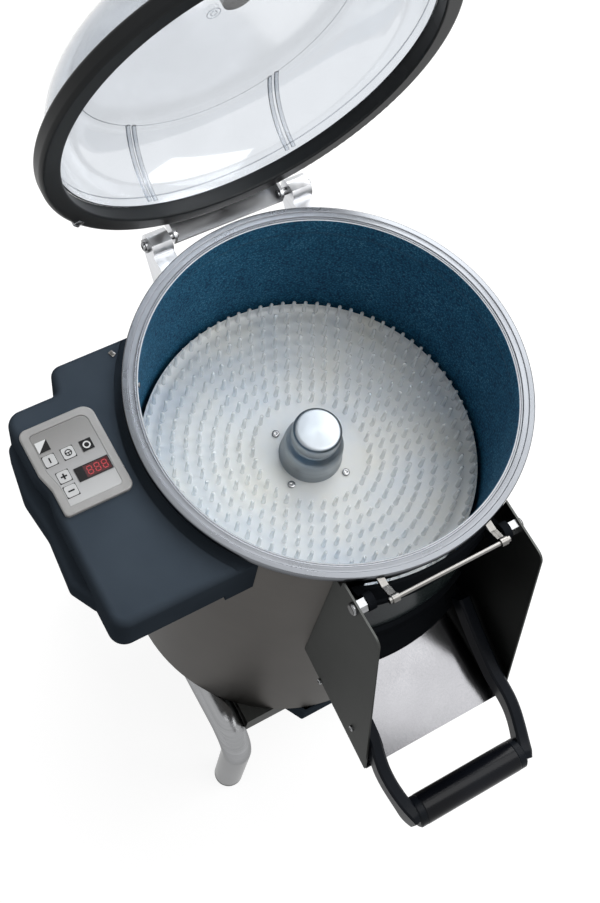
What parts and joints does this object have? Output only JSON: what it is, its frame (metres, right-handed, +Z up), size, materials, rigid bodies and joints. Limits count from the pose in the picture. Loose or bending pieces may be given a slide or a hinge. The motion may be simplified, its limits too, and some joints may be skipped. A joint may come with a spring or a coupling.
{
  "type": "mussel washing machine",
  "caption": "Floor-standing mussel washer: steel drum with abrasive lining, turning disc, hinged clear lid, front discharge door over a chute, and a side control box.",
  "frame": {"origin": "on the floor, under the middle of the machine's bounding box with its lid open", "axes": "+Z up, -Y out of the discharge chute, -X towards the control box"},
  "size_m": [0.5062, 0.6706, 1.1311],
  "materials": {
    "drum_steel": "brushed stainless sheet",
    "chute_steel": "fine-ground stainless sheet",
    "polished_steel": "polished stainless",
    "rim_aluminium": "satin cast aluminium",
    "abrasive": "dark blue abrasive grit",
    "disc_white": "milky moulded polymer",
    "black_moulding": "black moulding with a fine grain",
    "handle_black": "smooth black moulding",
    "bezel_silver": "silver lacquer",
    "keypad_film": "printed film",
    "key_film": "raised film keys",
    "display_red": "dark window with red light",
    "clear_lid": "clear moulded polycarbonate",
    "door_pane": "grey-green translucent pane",
    "foot_rubber": "grey rubber",
    "motor_grey": "grey paint"
  },
  "bodies": {
    "frame": {"drum_shell": "drum_steel", "abrasive_lining": "abrasive", "drum_floor": "drum_steel", "drum_bottom": "drum_steel", "drum_rim": "rim_aluminium", "bearing_housing": "rim_aluminium", "motor": "motor_grey", "base_box": "chute_steel", "drain_tray": "black_moulding", "left_leg_frame": "polished_steel", "right_leg_frame": "polished_steel", "left_front_foot": "foot_rubber", "right_front_foot": "foot_rubber", "left_rear_foot": "foot_rubber", "right_rear_foot": "foot_rubber", "left_cheek": "chute_steel", "right_cheek": "chute_steel", "chute_floor": "chute_steel", "discharge_sill": "black_moulding", "left_pivot_bolt": "polished_steel", "right_pivot_bolt": "polished_steel", "front_bar": "polished_steel", "left_bar_bracket": "polished_steel", "right_bar_bracket": "polished_steel", "left_hinge_lug": "rim_aluminium", "right_hinge_lug": "rim_aluminium", "left_hinge_pin": "polished_steel", "right_hinge_pin": "polished_steel", "control_box": "black_moulding", "panel_bezel": "bezel_silver", "keypad": "keypad_film", "panel_keys": "key_film", "panel_display": "display_red"},
    "lid": {"lid_ring": "handle_black", "lid_dome": "clear_lid", "lid_knob": "handle_black", "lid_bracket": "polished_steel"},
    "disc": {"wash_disc": "disc_white", "hub_cap": "polished_steel", "drive_shaft": "polished_steel"},
    "door": {"door_panel": "black_moulding", "door_window": "door_pane", "left_handle_arm": "handle_black", "right_handle_arm": "handle_black", "handle_grip": "handle_black"}
  },
  "joints": [
    {"name": "lid_hinge", "type": "hinge", "parent": "frame", "child": "lid", "pos_m": [0.0497, 0.26678, 0.718], "axis": [1, 0, 0], "range_deg": [0, 82]},
    {"name": "door_hinge", "type": "hinge", "parent": "frame", "child": "door", "pos_m": [0.0497, -0.14682, 0.7], "axis": [-1, 0, 0], "range_deg": [0, 75]},
    {"name": "disc_spin", "type": "hinge", "parent": "frame", "child": "disc", "pos_m": [0.0497, 0.05518, 0.554], "axis": [0, 0, 1], "continuous": true}
  ]
}
